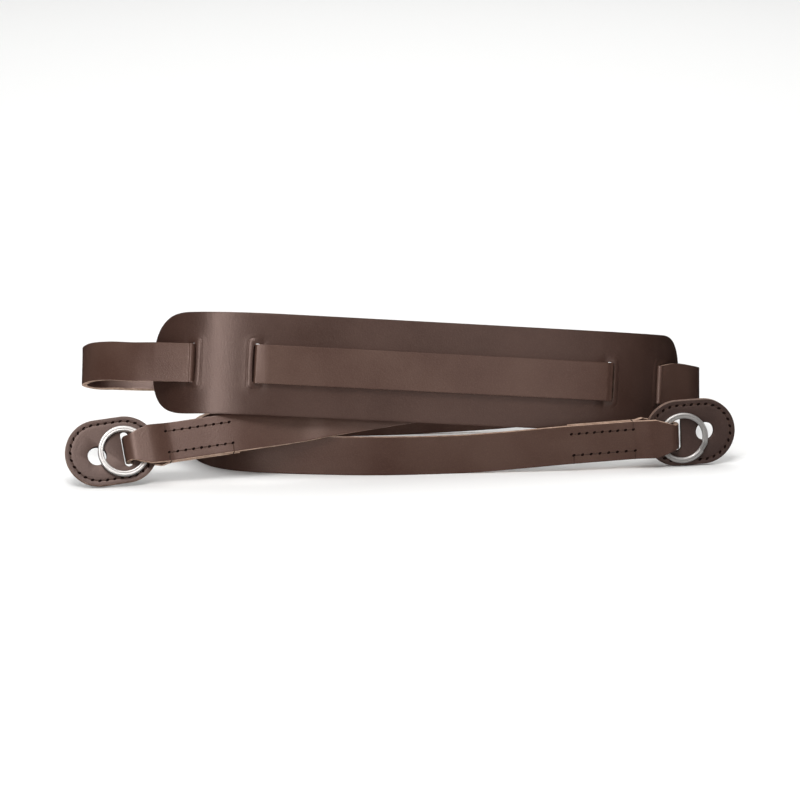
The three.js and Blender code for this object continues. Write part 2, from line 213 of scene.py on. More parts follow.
pad_half = pad_length / 2
pad_end_radius = pad_height / 2
pad_flat_half = pad_half - pad_end_radius
tip = [
    pad_flat_half
    + pad_end_radius
    * math.sin(math.pi / 2 * side / (pad_tip_columns + tip_share)) ** (2 / end_roundness)
    for side in range(pad_tip_columns, 0, -1)
]
near_slot = 3.2
fine_column = 0.32
outer_edge = slot_centres[-1] + slot_half_width + near_slot
stations = sorted(
    centre + side * (slot_half_width + past)
    for centre in slot_centres
    for side in (-1, 1)
    for past in (0, near_slot)
)
pad_columns = [-along for along in tip if along > outer_edge + fine_column]
for start, end in zip(stations, stations[1:]):
    from_slot = min(abs((start + end) / 2 - centre) for centre in slot_centres)
    beside_slot = from_slot < slot_half_width + near_slot
    pad_columns += split_evenly(start, end, fine_column if beside_slot else pad_column)
pad_columns += [stations[-1]] + [along for along in tip[::-1] if along > outer_edge + fine_column]
# Rows as shares of the pad's half height: close together at the slots' ends
slot_row = slot_half_height / pad_end_radius
lip_row = near_slot / pad_end_radius
corner_row = 0.12
fine_row = 0.35 / pad_end_radius
coarse_row = 0.055
pad_rows = []
for start, end, spacing in (
    (-1, -slot_row - lip_row, coarse_row),
    (-slot_row - lip_row, -slot_row, fine_row),
    (-slot_row, corner_row - slot_row, fine_row),
    (corner_row - slot_row, slot_row - corner_row, coarse_row),
    (slot_row - corner_row, slot_row, fine_row),
    (slot_row, slot_row + lip_row, fine_row),
    (slot_row + lip_row, 1, coarse_row),
):
    pad_rows += split_evenly(start, end, spacing)
pad_rows.append(1)


def pad_outline(along, up):
    past = max(0, abs(along) - pad_flat_half) / pad_end_radius
    share = max(0, 1 - past**end_roundness) ** (1 / end_roundness)
    return Vector((along, up * pad_end_radius * share, 0))


pad = add_grid("shoulder_pad_leather", pad_columns, pad_rows, pad_outline)
uv = pad.data.uv_layers.active.data
for loop in pad.data.loops:
    flat = pad.data.vertices[loop.vertex_index].co
    uv[loop.index].uv = (flat.x * millimetre, flat.y * millimetre)
bpy.ops.object.mode_set(mode="EDIT")
bpy.ops.mesh.select_mode(type="FACE")
bpy.ops.mesh.select_all(action="DESELECT")
bpy.ops.object.mode_set(mode="OBJECT")
for face in pad.data.polygons:
    face.select = any(
        abs(face.center.x - centre) < slot_half_width and abs(face.center.y) < slot_half_height
        for centre in slot_centres
    )
bpy.ops.object.mode_set(mode="EDIT")
bpy.ops.mesh.delete(type="FACE")
bpy.ops.object.mode_set(mode="OBJECT")


def beside_slot_shape(along, up, centre):
    """Rounds a slot's corners, bows its long sides and raises the lip that the strap pulls up."""
    x, y = along - centre, up
    side_x, side_y = math.copysign(1, x), math.copysign(1, y)
    past_x = abs(x) - (slot_half_width - slot_corner)
    past_y = abs(y) - (slot_half_height - slot_corner)
    if past_x > 0 and past_y > 0:
        reach = max(past_x, past_y)
        fade = math.exp(-max(0, reach - slot_corner))
        scale = 1 + (reach / math.hypot(past_x, past_y) - 1) * fade
        x = side_x * (slot_half_width - slot_corner + past_x * scale)
        y = side_y * (slot_half_height - slot_corner + past_y * scale)
    out_x = max(0, abs(x) - slot_half_width)
    out_y = max(0, abs(y) - slot_half_height)
    away = math.hypot(out_x, out_y)
    fade = math.exp(-((out_x / lip_reach) ** 2))
    x += side_x * slot_bow * fade * max(0, 1 - (y / slot_half_height) ** 2)
    lifted_side = math.copysign(1, centre) * (1 if abs(centre) < slot_centres[-1] else -1)
    toward = min(max(lifted_side * x / (2 * slot_half_width), -1), 1)
    lifted = toward * (3 - toward**2) / 2
    share = lip_middle + (1 - lip_middle) * lifted
    rise = lip_height * share * math.exp(-((away / lip_reach) ** 2))
    crease = crease_depth * math.exp(-(((away - crease_distance) / crease_width) ** 2))
    return centre + x, y, crease * max(0, lifted) - rise


for vertex in pad.data.vertices:
    along, up, _ = vertex.co
    centre = min(slot_centres, key=lambda place: abs(place - along))
    along, up, back = beside_slot_shape(along, up, centre)
    vertex.co = placed(on_pad(along, up, back))


def linear(colour):
    """An sRGB hex colour as linear red, green, blue and alpha."""
    parts = [int(colour[place : place + 2], 16) / 255 for place in (1, 3, 5)]
    parts = [part / 12.92 if part <= 0.04045 else ((part + 0.055) / 1.055) ** 2.4 for part in parts]
    return parts + [1]


def new_material(name):
    material = bpy.data.materials.new(name)
    material.use_nodes = True
    tree = material.node_tree
    shader = next(node for node in tree.nodes if node.type == "BSDF_PRINCIPLED")
    return material, tree, shader


def add_node(tree, kind, settings, inputs):
    """A node with its settings. An input that is a socket is linked, any other is set."""
    node = tree.nodes.new(kind)
    for key, value in settings.items():
        setattr(node, key, value)
    for key, value in inputs.items():
        if isinstance(value, bpy.types.NodeSocket):
            tree.links.new(value, node.inputs[key])
        else:
            node.inputs[key].default_value = value
    return node


def mix_colours(tree, value, low, high, first, second, most=1):
    """Two colours mixed by a pattern's value, stretched between a low and a high limit."""
    factor = add_node(
        tree,
        "ShaderNodeMapRange",
        {},
        {"Value": value, "From Min": low, "From Max": high, "To Max": most},
    )
    colours = {"Factor": factor.outputs[0], 6: first, 7: second}
    return add_node(tree, "ShaderNodeMix", {"data_type": "RGBA"}, colours).outputs[2]


# Patterns by how many fit in a metre: clouds of 26 mm, specks of 0.45 mm, pebbles of 0.67 mm
# and fibres of 2.4 mm
clouds_per_metre = 38
specks_per_metre = 2200
pebbles_per_metre = 1500
fibres_per_metre = 420


def leather_material(name, dark, middle, light, roughness):
    """Waxed cowhide: cloudy brown with fine lighter specks and a pebbled grain, half matt, so
    that the bends carry broad soft sheens with a warm tint."""
    material, tree, shader = new_material(name)
    place = add_node(tree, "ShaderNodeTexCoord", {}, {}).outputs["Object"]
    clouds = add_node(
        tree, "ShaderNodeTexNoise", {}, {"Vector": place, "Scale": clouds_per_metre, "Detail": 4}
    )
    speckle = add_node(
        tree,
        "ShaderNodeTexNoise",
        {},
        {"Vector": place, "Scale": specks_per_metre, "Detail": 2, "Roughness": 0.6},
    )
    base = mix_colours(tree, clouds.outputs[0], 0.35, 0.65, linear(dark), linear(middle))
    colour = mix_colours(tree, speckle.outputs[0], 0.45, 0.8, base, linear(light), 0.3)
    tree.links.new(colour, shader.inputs["Base Color"])
    shader.inputs["Specular Tint"].default_value = linear("#ffe1d6")
    shader.inputs["Specular IOR Level"].default_value = 0.75
    rough = add_node(
        tree,
        "ShaderNodeMapRange",
        {},
        {"Value": clouds.outputs[0], "To Min": roughness - 0.06, "To Max": roughness + 0.08},
    )
    tree.links.new(rough.outputs[0], shader.inputs["Roughness"])
    pebbles = add_node(
        tree,
        "ShaderNodeTexVoronoi",
        {"feature": "SMOOTH_F1"},
        {"Vector": place, "Scale": pebbles_per_metre, "Smoothness": 0.6},
    )
    height = add_node(
        tree,
        "ShaderNodeMath",
        {"operation": "MULTIPLY_ADD"},
        {0: speckle.outputs[0], 1: 0.8, 2: pebbles.outputs["Distance"]},
    )
    bump = add_node(
        tree,
        "ShaderNodeBump",
        {},
        {"Strength": 0.15, "Distance": 0.00015, "Height": height.outputs[0]},
    )
    tree.links.new(bump.outputs[0], shader.inputs["Normal"])
    return material


def cut_edge_material(name, dark, light, gloss=0.5):
    """The cut edge of leather: matt, with undyed tan fibres under a worn film of dye, which draws a
    light line along the pieces. It gives the thread of the seams too, and the near-black painted
    shade in their holes; on the strap its tan is lighter still, as painted light bounced up from the
    table."""
    material, tree, shader = new_material(name)
    place = add_node(tree, "ShaderNodeTexCoord", {}, {}).outputs["Object"]
    fibres = add_node(
        tree,
        "ShaderNodeTexNoise",
        {},
        {"Vector": place, "Scale": fibres_per_metre, "Detail": 5, "Roughness": 0.7},
    )
    colour = mix_colours(tree, fibres.outputs[0], 0.35, 0.65, linear(dark), linear(light))
    tree.links.new(colour, shader.inputs["Base Color"])
    shader.inputs["Roughness"].default_value = 0.8
    shader.inputs["Specular IOR Level"].default_value = gloss
    bump = add_node(
        tree, "ShaderNodeBump", {}, {"Strength": 0.5, "Distance": 0.0002, "Height": fibres.outputs[0]}
    )
    tree.links.new(bump.outputs[0], shader.inputs["Normal"])
    return material


pad_leather = leather_material("waxed_pad_leather", "#34221c", "#3e2c26", "#564239", 0.36)
dark_edge = cut_edge_material("dyed_cut_edge", "#5a4439", "#8a6f60")
pad.data.materials.append(pad_leather)
pad.data.materials.append(dark_edge)
make_thick(pad, pad_thickness)
round_edges(pad, leather_round)
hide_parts("shoulder_pad")
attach(pad, "root")

# Strap: one 15 mm strip of 2 mm leather, 1.2 m long. It starts at the left flap, runs right
# behind the pad and turns back, passes through the pad's four slots, lies on the table in a
# long loop, and ends at the right flap. Both ends are narrowed, folded through flap and ring
# and sewn to the strap.
neck_width = 9.7
taper_length = 6.5
joint_length = 27
joint_rise = 0.7
ease_share = 0.25
crossing = math.radians(83)
crossing_radius = 0.6
crossing_shift = 0.65
crossing_squeeze = 0.5
gap = 0.3
ring_diameter = 20
ring_wire_thickness = 0.8
flap_ply = 1
flap_length = 36.1
flap_width = 26
flap_slot_inset = 12.3
# side is the way it runs, x and y are shares of the pad's length, the angles yaw, tilt, lean
# and split_at are in degrees, and the rest is in millimetres
ends = {
    "left": {
        "side": 1, "x": -0.4505, "y": 0.0295, "yaw": 13, "tilt": 5.8, "lean": 26,
        "flap_up": 0.3, "slot_along": 0, "hole_up": -1.1,
        "ring_along": -1.4, "ring_up": -0.8, "split_at": 5,
    },
    "right": {
        "side": -1, "x": 0.4625, "y": 0.172, "yaw": -10, "tilt": -2.4, "lean": 0,
        "flap_up": 0.8, "slot_along": -0.5, "hole_up": 0,
        "ring_along": -2.5, "ring_up": -0.9, "split_at": 205,
    },
}
# Each stop of a route: x, y, stack and lift as for the pad, and lean in degrees
left_route = (
    (-0.166, 0.093, 0.888, 0, 20),
    (-0.114, 0.099, 1.03, 0, 18),
    (0.024, 0.137, 1.262, 0, 14),
    (0.15, 0.175, 1.443, 0, 8),
    (0.222, 0.201, 1.53, 0, 3),
    (0.261, 0.239, 1.52, 0.05, 2),
    (0.222, 0.276, 1.48, 0.1, 3),
    (0.085, 0.276, 1.41, 0.2, 6),
    (-0.171, 0.259, 1.24, 0.4, 15),
    (-0.413, 0.241, 0.985, 0.6, 36),
    (-0.481, 0.234, 0.955, 0.65, 41),
    (-0.512, 0.217, 0.975, 0.7, 38),
    (-0.529, 0.184, 1.045, 0.8, 29),
    (-0.514, 0.155, 1.063, 0.94, 19),
    (-0.481, 0.1285, 1.1, 1, 18),
    (-0.444, 0.1105, 1.13, 1, 17),
    (-0.406, 0.0985, 1.165, 1, 14),
)
right_route = (
    (0.47, 0.291, 0.119, 0.95, 14),
    (0.494, 0.316, 0.084, 0.88, 14),
    (0.511, 0.357, 0.016, 0.8, 14),
    (0.505, 0.415, 0.085, 0.6, 12),
    (0.468, 0.455, 0.109, 0.45, 9),
    (0.397, 0.47, 0.139, 0.3, 6),
    (0.214, 0.462, 0.009, 0.1, 2),
    (0, 0.436, 0, 0, 0),
    (-0.162, 0.41, 0, 0, 0),
    (-0.261, 0.372, 0, 0, 0),
    (-0.321, 0.312, 0, 0, 0),
    (-0.344, 0.244, 0, 0, 0),
    (-0.33, 0.194, 0, 0, 0),
    (-0.305, 0.157, 0, 0, 0),
    (-0.255, 0.125, 0, 0, 0),
    (-0.133, 0.102, 0, 0, 0),
    (-0.028, 0.097, 0, 0, 0),
    (0.11, 0.114, 0, 0, 0),
)
flap_face = flap_ply + gap / 2
ring_thickness = 2 * ring_wire_thickness + gap / 2
front_level = flap_face + gap + ring_thickness + gap + strap_thickness / 2
fold_radius = strap_thickness / 2 + gap
ease_steps = 10
arc_steps = 12
layer_pitch = strap_thickness + gap
joint_level = (front_level - flap_face - fold_radius) / 2 + joint_rise
joint_start = flap_slot_inset + 2 * strap_thickness
joint_end = joint_start + joint_length


def smooth(part):
    return part * part * (3 - 2 * part)


def upright_of(lean):
    return Vector((0, math.sin(math.radians(lean)), math.cos(math.radians(lean))))


def end_frame(end):
    """The axes and the origins of strap and flap at one end of the strap."""
    yaw, tilt = math.radians(end["yaw"]), math.radians(end["tilt"])
    level = math.cos(tilt)
    along = Vector((end["side"] * math.cos(yaw) * level, math.sin(yaw) * level, math.sin(tilt)))
    up = upright_of(end["lean"])
    up = (up - along * up.dot(along)).normalized()
    across = along.cross(up)
    radius = flap_width / 2
    reach = radius * math.hypot(along.z, up.z) + flap_face * abs(across.z)
    near_end = (flap_slot_inset - radius) * along.z
    far_end = (flap_slot_inset - flap_length + radius) * along.z
    height = reach - min(near_end, far_end)
    flap_origin = Vector((end["x"] * pad_length, end["y"] * pad_length, height))
    return {
        "along": along, "up": up, "front": across * end["side"],
        "flap_origin": flap_origin, "origin": flap_origin - up * end["flap_up"],
    }


def at_end(place, along, up, forward, origin="origin"):
    return place[origin] + place["along"] * along + place["up"] * up + place["front"] * forward


def end_stops(place):
    """The strap's middle line at an end: down the folded layer, round, and back in front.
    Each stop is a point, the way up, the width and a share of the thickness."""
    profile = []

    def ease(start, end, level_start, level_end):
        for step in range(ease_steps + 1):
            part = step / ease_steps
            level = level_start + (level_end - level_start) * smooth(part)
            profile.append((start + (end - start) * part, level))

    def arc(radius, level, angle_start, angle_end):
        for step in range(arc_steps + 1):
            angle = angle_start + (angle_end - angle_start) * step / arc_steps
            profile.append((radius - radius * math.cos(angle), level + radius * math.sin(angle)))

    back_joint = joint_level - layer_pitch / 2
    front_joint = joint_level + layer_pitch / 2
    profile.append((joint_end, back_joint))
    profile.append(((joint_start + joint_end) / 2, back_joint))
    ease(joint_start, flap_slot_inset + gap, back_joint, -flap_face - fold_radius)
    arc(fold_radius, -flap_face, -math.pi / 2, 0)
    arc(front_level - flap_face, flap_face, 0, math.pi / 2)
    run_on = ease_share * (joint_start - ring_diameter / 2)
    ease(ring_diameter / 2 - run_on, joint_start + run_on, front_level, front_joint)
    profile.append(((joint_start + joint_end) / 2, front_joint))
    profile.append((joint_end, front_joint))
    stops = []
    for along, forward in profile:
        share = min(max((along - fold_radius) / taper_length, 0), 1)
        width = neck_width + (strap_width - neck_width) * share
        stops.append((at_end(place, along, 0, forward), place["up"], width, 1))
    return stops


def route_stops(table):
    stops = []
    for x, y, stack, lift, lean in table:
        point = Vector((x * pad_length, y * pad_length, level_of(stack, lift)))
        stops.append((point, upright_of(lean), strap_width, 1))
    return stops


layer_offset = (pad_thickness + strap_thickness) / 2 + gap
straight_half = (layer_offset - crossing_radius * (1 - math.cos(crossing))) / math.tan(crossing)
crossing_half = straight_half + crossing_radius * math.sin(crossing)


def crossing_distance(along):
    """How far along the strap is from its nearest crossing, more than 0 where it runs behind."""
    inner, outer = slot_centres[2:]
    return min(outer - abs(along), abs(along) - inner) - crossing_shift


def strap_behind(along):
    """How far behind the pad's middle the strap is: straight through a slot, in an arc beside it."""
    distance = crossing_distance(along)
    if abs(distance) < straight_half:
        return distance * math.tan(crossing)
    left = max(0, crossing_half - abs(distance))
    turned = layer_offset - crossing_radius + math.sqrt(crossing_radius**2 - left**2)
    return math.copysign(turned, distance)


places = {name: end_frame(end) for name, end in ends.items()}
pad_reach = slot_centres[-1] + 2 * straight_half
slot_steps = 700
stops = end_stops(places["left"]) + route_stops(left_route)
for step in range(slot_steps + 1):
    along = pad_reach * (2 * step / slot_steps - 1)
    relief = min(max(abs(crossing_distance(along)) - crossing_half, 0) / strap_thickness, 1)
    thickness = crossing_squeeze + (1 - crossing_squeeze) * smooth(relief)
    stops.append((on_pad(along, 0, strap_behind(along)), pad_up, strap_width, thickness))
stops += route_stops(right_route) + end_stops(places["right"])[::-1]


spline_steps = 24
same_point = 1e-5
least_interval = 1e-4


def spline_point(index, part):
    """A centripetal curve through the stops, and its direction."""
    p1, p2 = stops[index][0], stops[index + 1][0]
    p0 = stops[index - 1][0] if index else 2 * p1 - p2
    p3 = stops[index + 2][0] if index + 2 < len(stops) else 2 * p2 - p1
    t0, t1, t2 = ((b - a).length ** 0.5 for a, b in ((p0, p1), (p1, p2), (p2, p3)))
    t1 = t1 if t1 > least_interval else 1.0
    t0 = t0 if t0 > least_interval else t1
    t2 = t2 if t2 > least_interval else t1
    start = ((p1 - p0) / t0 - (p2 - p0) / (t0 + t1) + (p2 - p1) / t1) * t1
    end = ((p2 - p1) / t1 - (p3 - p1) / (t1 + t2) + (p3 - p2) / t2) * t1
    second = 3 * (p2 - p1) - 2 * start - end
    third = 2 * (p1 - p2) + start + end
    point = p1 + start * part + second * part**2 + third * part**3
    return point, (start + 2 * second * part + 3 * third * part**2).normalized()


section_turn = math.radians(5)
section_step = 2.4
joint_section_step = 0.42
sections = []
length = 0
last_point = None
last_tangent = None
sewn_zone = joint_end + 3
for index in range(len(stops) - 1):
    here, ahead = stops[index], stops[index + 1]
    if (ahead[0] - here[0]).length < same_point:
        continue
    for step in range(spline_steps):
        part = step / spline_steps
        point, tangent = spline_point(index, part)
        moved = 0 if last_point is None else (point - last_point).length
        sewn = any(
            0 < (point - place["origin"]).dot(place["along"]) < sewn_zone
            and (point - place["origin"]).length < sewn_zone
            for place in places.values()
        )
        if (
            last_point is None
            or tangent.angle(last_tangent) > section_turn
            or moved > (joint_section_step if sewn else section_step)
        ):
            length += moved
            upright = here[1].lerp(ahead[1], part)
            up = (upright - tangent * upright.dot(tangent)).normalized()
            width = here[2] + (ahead[2] - here[2]) * part
            thickness = here[3] + (ahead[3] - here[3]) * part
            sections.append((point, up, width, length, thickness))
            last_point, last_tangent = point, tangent
point, up, width, thickness = stops[-1]
length += (point - last_point).length
sections.append((point, sections[-1][1], width, length, thickness))
half_rows = (0, 0.12, 0.24, 0.36, 0.44, 0.49, 0.53, 0.56, 0.59, 0.63, 0.68, 0.76, 0.85, 0.93, 1)
strap_rows = [-share for share in half_rows[:0:-1]] + list(half_rows)


def strap_surface(section, share):
    point, up, width, _, _ = section
    return placed(point + up * share * width / 2)


strap = add_grid("strap_leather", sections, strap_rows, strap_surface)
squeeze = strap.vertex_groups.new(name="thickness_share")
uv = strap.data.uv_layers.active.data
for loop in strap.data.loops:
    column, row = uv[loop.index].uv
    section = sections[round(column * (len(sections) - 1))]
    share = strap_rows[round(row * (len(strap_rows) - 1))]
    squeeze.add([loop.vertex_index], section[4], "REPLACE")
    uv[loop.index].uv = (section[3] * millimetre, share * section[2] / 2 * millimetre)
strap_leather = leather_material("waxed_strap_leather", "#3f2a23", "#4b372f", "#654f44", 0.35)
# The strap's cut edge: undyed tan, made lighter still as painted light that stands in for the table's
# bounce on the lower edges
light_edge = cut_edge_material("worn_cut_edge_and_painted_bounce", "#8a6c5a", "#c2a48f")
strap.data.materials.append(strap_leather)
strap.data.materials.append(light_edge)
make_thick(strap, strap_thickness, vertex_group="thickness_share")
round_edges(strap, leather_round)
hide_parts("strap_band")
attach(strap, "root")

# Flaps: at each end an oval of two 1 mm plies of leather, sewn together round the edge. They
# have a slot for the strap and a round hole for the camera's lug.
flap_slot_length = 14
flap_slot_radius = 1.6
flap_hole_diameter = 7.3
flap_hole_spacing = 11.7
flap_insets = (0, 0.25, 0.7, 1.2, 1.55, 1.85, 2.15, 2.6, 3.4, 4.4)
flap_stitches = 31
flap_stitch_inset = 1.9
flap_crease_depth = 0.12
flap_crease_width = 0.4
outer_face = 0.2
ply_round = 0.28
cutter_depth = 0.01
merge_distance = 1e-6
steps_per_stitch = 8
flap_leather = leather_material("flap_leather", "#322522", "#3d2d28", "#54433c", 0.42)


def stadium(share, inset):
    """A point of the flap's outline, moved in from it by inset. share runs round it once."""
    radius = flap_width / 2 - inset
    straight = flap_length - flap_width
    near = flap_slot_inset - flap_width / 2
    arc = math.pi * (flap_width / 2 - flap_stitch_inset)
    half = share * 2 % 1 * (arc + straight)
    turn = math.pi if share % 1 >= 0.5 else 0
    centre = near if turn == 0 else near - straight
    if half < arc:
        angle = turn - math.pi / 2 + math.pi * half / arc
        return Vector((centre + radius * math.cos(angle), radius * math.sin(angle), 0))
    along = (half - arc) * (-1 if turn == 0 else 1)
    return Vector((centre + along, radius * (1 if turn == 0 else -1), 0))


def flap_core(spot):
    """The nearest point of the line between the middles of the flap's two round ends."""
    near = flap_slot_inset - flap_width / 2
    return Vector((min(max(spot.x, near - flap_length + flap_width), near), 0, spot.z))


def cut_with(piece, cutter):
    apply_modifier(piece, "BOOLEAN", operation="DIFFERENCE", object=cutter, solver="EXACT")


flap_steps = flap_stitches * steps_per_stitch
flap_columns = [step / flap_steps for step in range(flap_steps + 1)]
for name, place in places.items():
    bpy.ops.object.select_all(action="DESELECT")
    bpy.ops.mesh.primitive_cylinder_add(
        vertices=48, radius=flap_hole_diameter / 2 * millimetre, depth=cutter_depth
    )
    hole_cutter = bpy.context.object
    for vertex in hole_cutter.data.vertices:
        vertex.co += Vector((-flap_hole_spacing, ends[name]["hole_up"], 0)) * millimetre
    bpy.ops.mesh.primitive_cylinder_add(
        vertices=32, radius=flap_slot_radius * millimetre, depth=cutter_depth
    )
    slot_cutter = bpy.context.object
    stretch = (flap_slot_length / 2 - flap_slot_radius) * millimetre
    for vertex in slot_cutter.data.vertices:
        vertex.co.x += ends[name]["slot_along"] * millimetre
        vertex.co.y += math.copysign(stretch, vertex.co.y)
    turn = Matrix((place["along"], place["up"], place["front"] * ends[name]["side"])).transposed()
    for ply, forward in (("front", 0.5), ("back", -0.5)):
        flap = add_grid(
            f"flap_{name}_{ply}_leather",
            flap_columns,
            flap_insets,
            lambda share, inset: stadium(share, inset) * millimetre,
        )
        bpy.ops.object.mode_set(mode="EDIT")
        bpy.ops.mesh.select_all(action="SELECT")
        bpy.ops.mesh.remove_doubles(threshold=merge_distance)
        bpy.ops.mesh.select_mode(type="EDGE")
        bpy.ops.mesh.select_all(action="DESELECT")
        bpy.ops.object.mode_set(mode="OBJECT")
        inner = {
            vertex.index
            for vertex in flap.data.vertices
            if min(
                (vertex.co - stadium(share, flap_insets[-1]) * millimetre).length
                for share in flap_columns
            )
            < merge_distance
        }
        for edge in flap.data.edges:
            edge.select = all(index in inner for index in edge.vertices)
        bpy.ops.object.mode_set(mode="EDIT")
        bpy.ops.mesh.edge_face_add()
        bpy.ops.mesh.select_all(action="SELECT")
        bpy.ops.mesh.normals_make_consistent()
        bpy.ops.object.mode_set(mode="OBJECT")
        flap.data.materials.append(flap_leather)
        flap.data.materials.append(dark_edge)
        make_thick(flap, flap_ply)
        cut_with(flap, hole_cutter)
        cut_with(flap, slot_cutter)
        round_edges(flap, ply_round)
        level = forward * (flap_ply + gap) * ends[name]["side"]
        for vertex in flap.data.vertices:
            local = vertex.co / millimetre
            inset = flap_width / 2 - (local - flap_core(local)).length
            away = (inset - flap_stitch_inset) / flap_crease_width
            pressed = flap_crease_depth * math.exp(-(away**2))
            if local.z * level > outer_face * abs(level):
                local.z -= math.copysign(pressed, level)
            local.z += level
            vertex.co = placed(turn @ local + place["flap_origin"])
        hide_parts(f"flap_{name}_{ply}_ply")
        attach(flap, "root")
    bpy.data.objects.remove(hole_cutter)
    bpy.data.objects.remove(slot_cutter)

# Seams: waxed thread in pricked holes, round the edge of the flaps and in two rows through the folded
# ends of the strap. Where a row ends, the thread goes round the strap's edge. The holes are small
# near-black dots of painted shade, and the thread between them hardly stands out.
# For each row: how far up, its start along the strap, holes, spacing, and which holes have
# thread round the edge
seam_rows = {
    "left": ((4.2, 15.9, 9, 3.1, (0,)), (-4.2, 15.9, 9, 3.1, (0, 8))),
    "right": ((4.4, 17.8, 9, 3.1, (0,)), (-4.1, 17.4, 8, 3.5, (0, 7))),
}
# Half sizes of a hole, the slant of the holes as a share, how deep they sit as a share of the
# crease, and the thread's heights and widths as shares of its radius
hole_size = (0.72, 0.5, 0.14)
flap_hole_stretch = (1.15, 1, 1)
joint_slant = 0.45
flap_slant = 0.5
hole_sink = 0.6
thread_radius = 0.27
thread_end = 0.35
thread_height = 0.5
flap_thread_width = 0.9
wrap_height = 0.7
wrap_width = 1.2
direction_step = 0.1
# The holes are nearly black and without gloss: painted shade, so that they look deep. The thread is
# dark brown with a faint sheen of wax, hardly lighter than the leather round it.
hole_shade_paint = cut_edge_material("painted_hole_shade", "#0d0706", "#170d0a", 0)
thread_linen = cut_edge_material("waxed_linen_thread", "#33221b", "#4a352b", 0.3)
bpy.ops.object.select_all(action="DESELECT")
bpy.ops.mesh.primitive_ico_sphere_add(subdivisions=2, radius=1)
hole_model = bpy.context.object
for vertex in hole_model.data.vertices:
    vertex.co = Vector([part * size for part, size in zip(vertex.co, hole_size)])
hole_model.data.materials.append(hole_shade_paint)
bpy.ops.mesh.primitive_uv_sphere_add(segments=10, ring_count=6, radius=1)
thread_model = bpy.context.object
for vertex in thread_model.data.vertices:
    vertex.co = Vector((vertex.co.z, vertex.co.x, vertex.co.y))
thread_model.data.materials.append(thread_linen)
bpy.ops.object.shade_smooth()


def add_stitch(parts, model, centre, ahead, out, size=(1, 1, 1)):
    """A copy of a hole or a thread: its middle, the way it runs, the way out, and its size."""
    part = model.copy()
    part.data = model.data.copy()
    bpy.context.collection.objects.link(part)
    ahead = ahead.normalized()
    turn = Matrix((ahead, out.cross(ahead), out)).transposed()
    for vertex in part.data.vertices:
        local = Vector([place * scale for place, scale in zip(vertex.co, size)])
        vertex.co = placed(turn @ local + centre)
    parts.append(part)


def join_seam(name, parts):
    bpy.ops.object.select_all(action="DESELECT")
    for part in parts:
        part.select_set(True)
    bpy.context.view_layer.objects.active = parts[0]
    bpy.ops.object.join()
    seam = bpy.context.object
    seam.name = name
    seam.data.name = name
    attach(seam, "root")


def strap_face(place, along, up, face):
    """The point of the folded strap's outer face, front or back, at a spot of a seam."""
    outside = at_end(place, along, up, joint_level + face * (layer_pitch + strap_thickness))
    spot = strap.closest_point_on_mesh(placed(outside))[1]
    return spot / millimetre - drawing_shift


for name, place in places.items():
    seam = []
    for up, seam_start, holes, pitch, wrapped in seam_rows[name]:
        for face in (1, -1):
            out = place["front"] * face
            for index in range(holes):
                along = seam_start + pitch * index
                spot = strap_face(place, along, up, face)
                slant = place["along"] + place["up"] * joint_slant * face * ends[name]["side"]
                add_stitch(seam, hole_model, spot, slant, out)
                if index + 1 < holes:
                    after = strap_face(place, along + pitch, up, face)
                    size = (pitch / 2 - thread_end, thread_radius, thread_radius * thread_height)
                    add_stitch(seam, thread_model, (spot + after) / 2, after - spot, out, size)
                if index in wrapped:
                    side = math.copysign(1, up)
                    reach = strap_width / 2 - abs(up)
                    middle = strap_face(place, along, up + side * reach / 2, face)
                    size = (reach / 2, thread_radius, thread_radius * wrap_height)
                    add_stitch(seam, thread_model, middle, place["up"], out, size)
                    if face > 0:
                        edge = at_end(place, along, side * strap_width / 2, joint_level)
                        size = (layer_pitch, thread_radius * wrap_width, thread_radius)
                        add_stitch(seam, thread_model, edge, out, place["up"] * side, size)
    join_seam(f"joint_seam_{name}", seam)
    seam = []
    for face in (1, -1):
        out = place["front"] * face
        level = (flap_face - flap_crease_depth * hole_sink) * face
        for index in range(flap_stitches):
            spot = stadium(index / flap_stitches, flap_stitch_inset)
            ahead = stadium((index + direction_step) / flap_stitches, flap_stitch_inset) - spot
            after = stadium((index + 1) / flap_stitches, flap_stitch_inset)
            run = place["along"] * ahead.x + place["up"] * ahead.y
            centre = at_end(place, spot.x, spot.y, level, "flap_origin")
            slant = run.normalized() + out.cross(run.normalized()) * flap_slant
            # A near-black dot of painted shade for each of the flap's holes
            add_stitch(seam, hole_model, centre, slant, out, flap_hole_stretch)
            middle = (spot + after) / 2
            run = place["along"] * (after - spot).x + place["up"] * (after - spot).y
            centre = at_end(place, middle.x, middle.y, level, "flap_origin")
            width = thread_radius * flap_thread_width
            size = (run.length / 2 - thread_end, width, thread_radius * thread_height)
            add_stitch(seam, thread_model, centre, run, out, size)
    join_seam(f"flap_seam_{name}", seam)
bpy.data.objects.remove(hole_model)
bpy.data.objects.remove(thread_model)

# Split rings: nickel-plated steel, flat wire coiled twice. Single brush lines aren't drawn;
# uneven roughness breaks up the highlights instead.
ring_wall = 2.1
ring_step = math.radians(24)
ring_columns = 192
ring_merge_distance = 1e-7
spots_per_metre = 900
# Half of the wire's section: two rounded beads with a groove between them
ring_face = (
    (-1, 0),
    (-0.93, 0.6),
    (-0.75, 0.92),
    (-0.5, 1),
    (-0.28, 0.92),
    (-0.2, 0.3),
    (-0.06, 0.3),
    (0.02, 0.92),
    (0.4, 1),
    (0.75, 0.92),
    (0.93, 0.6),
    (1, 0),
)
ring_section = list(ring_face) + [(-across, -up) for across, up in ring_face[1:-1]]
ring_section.append(ring_face[0])


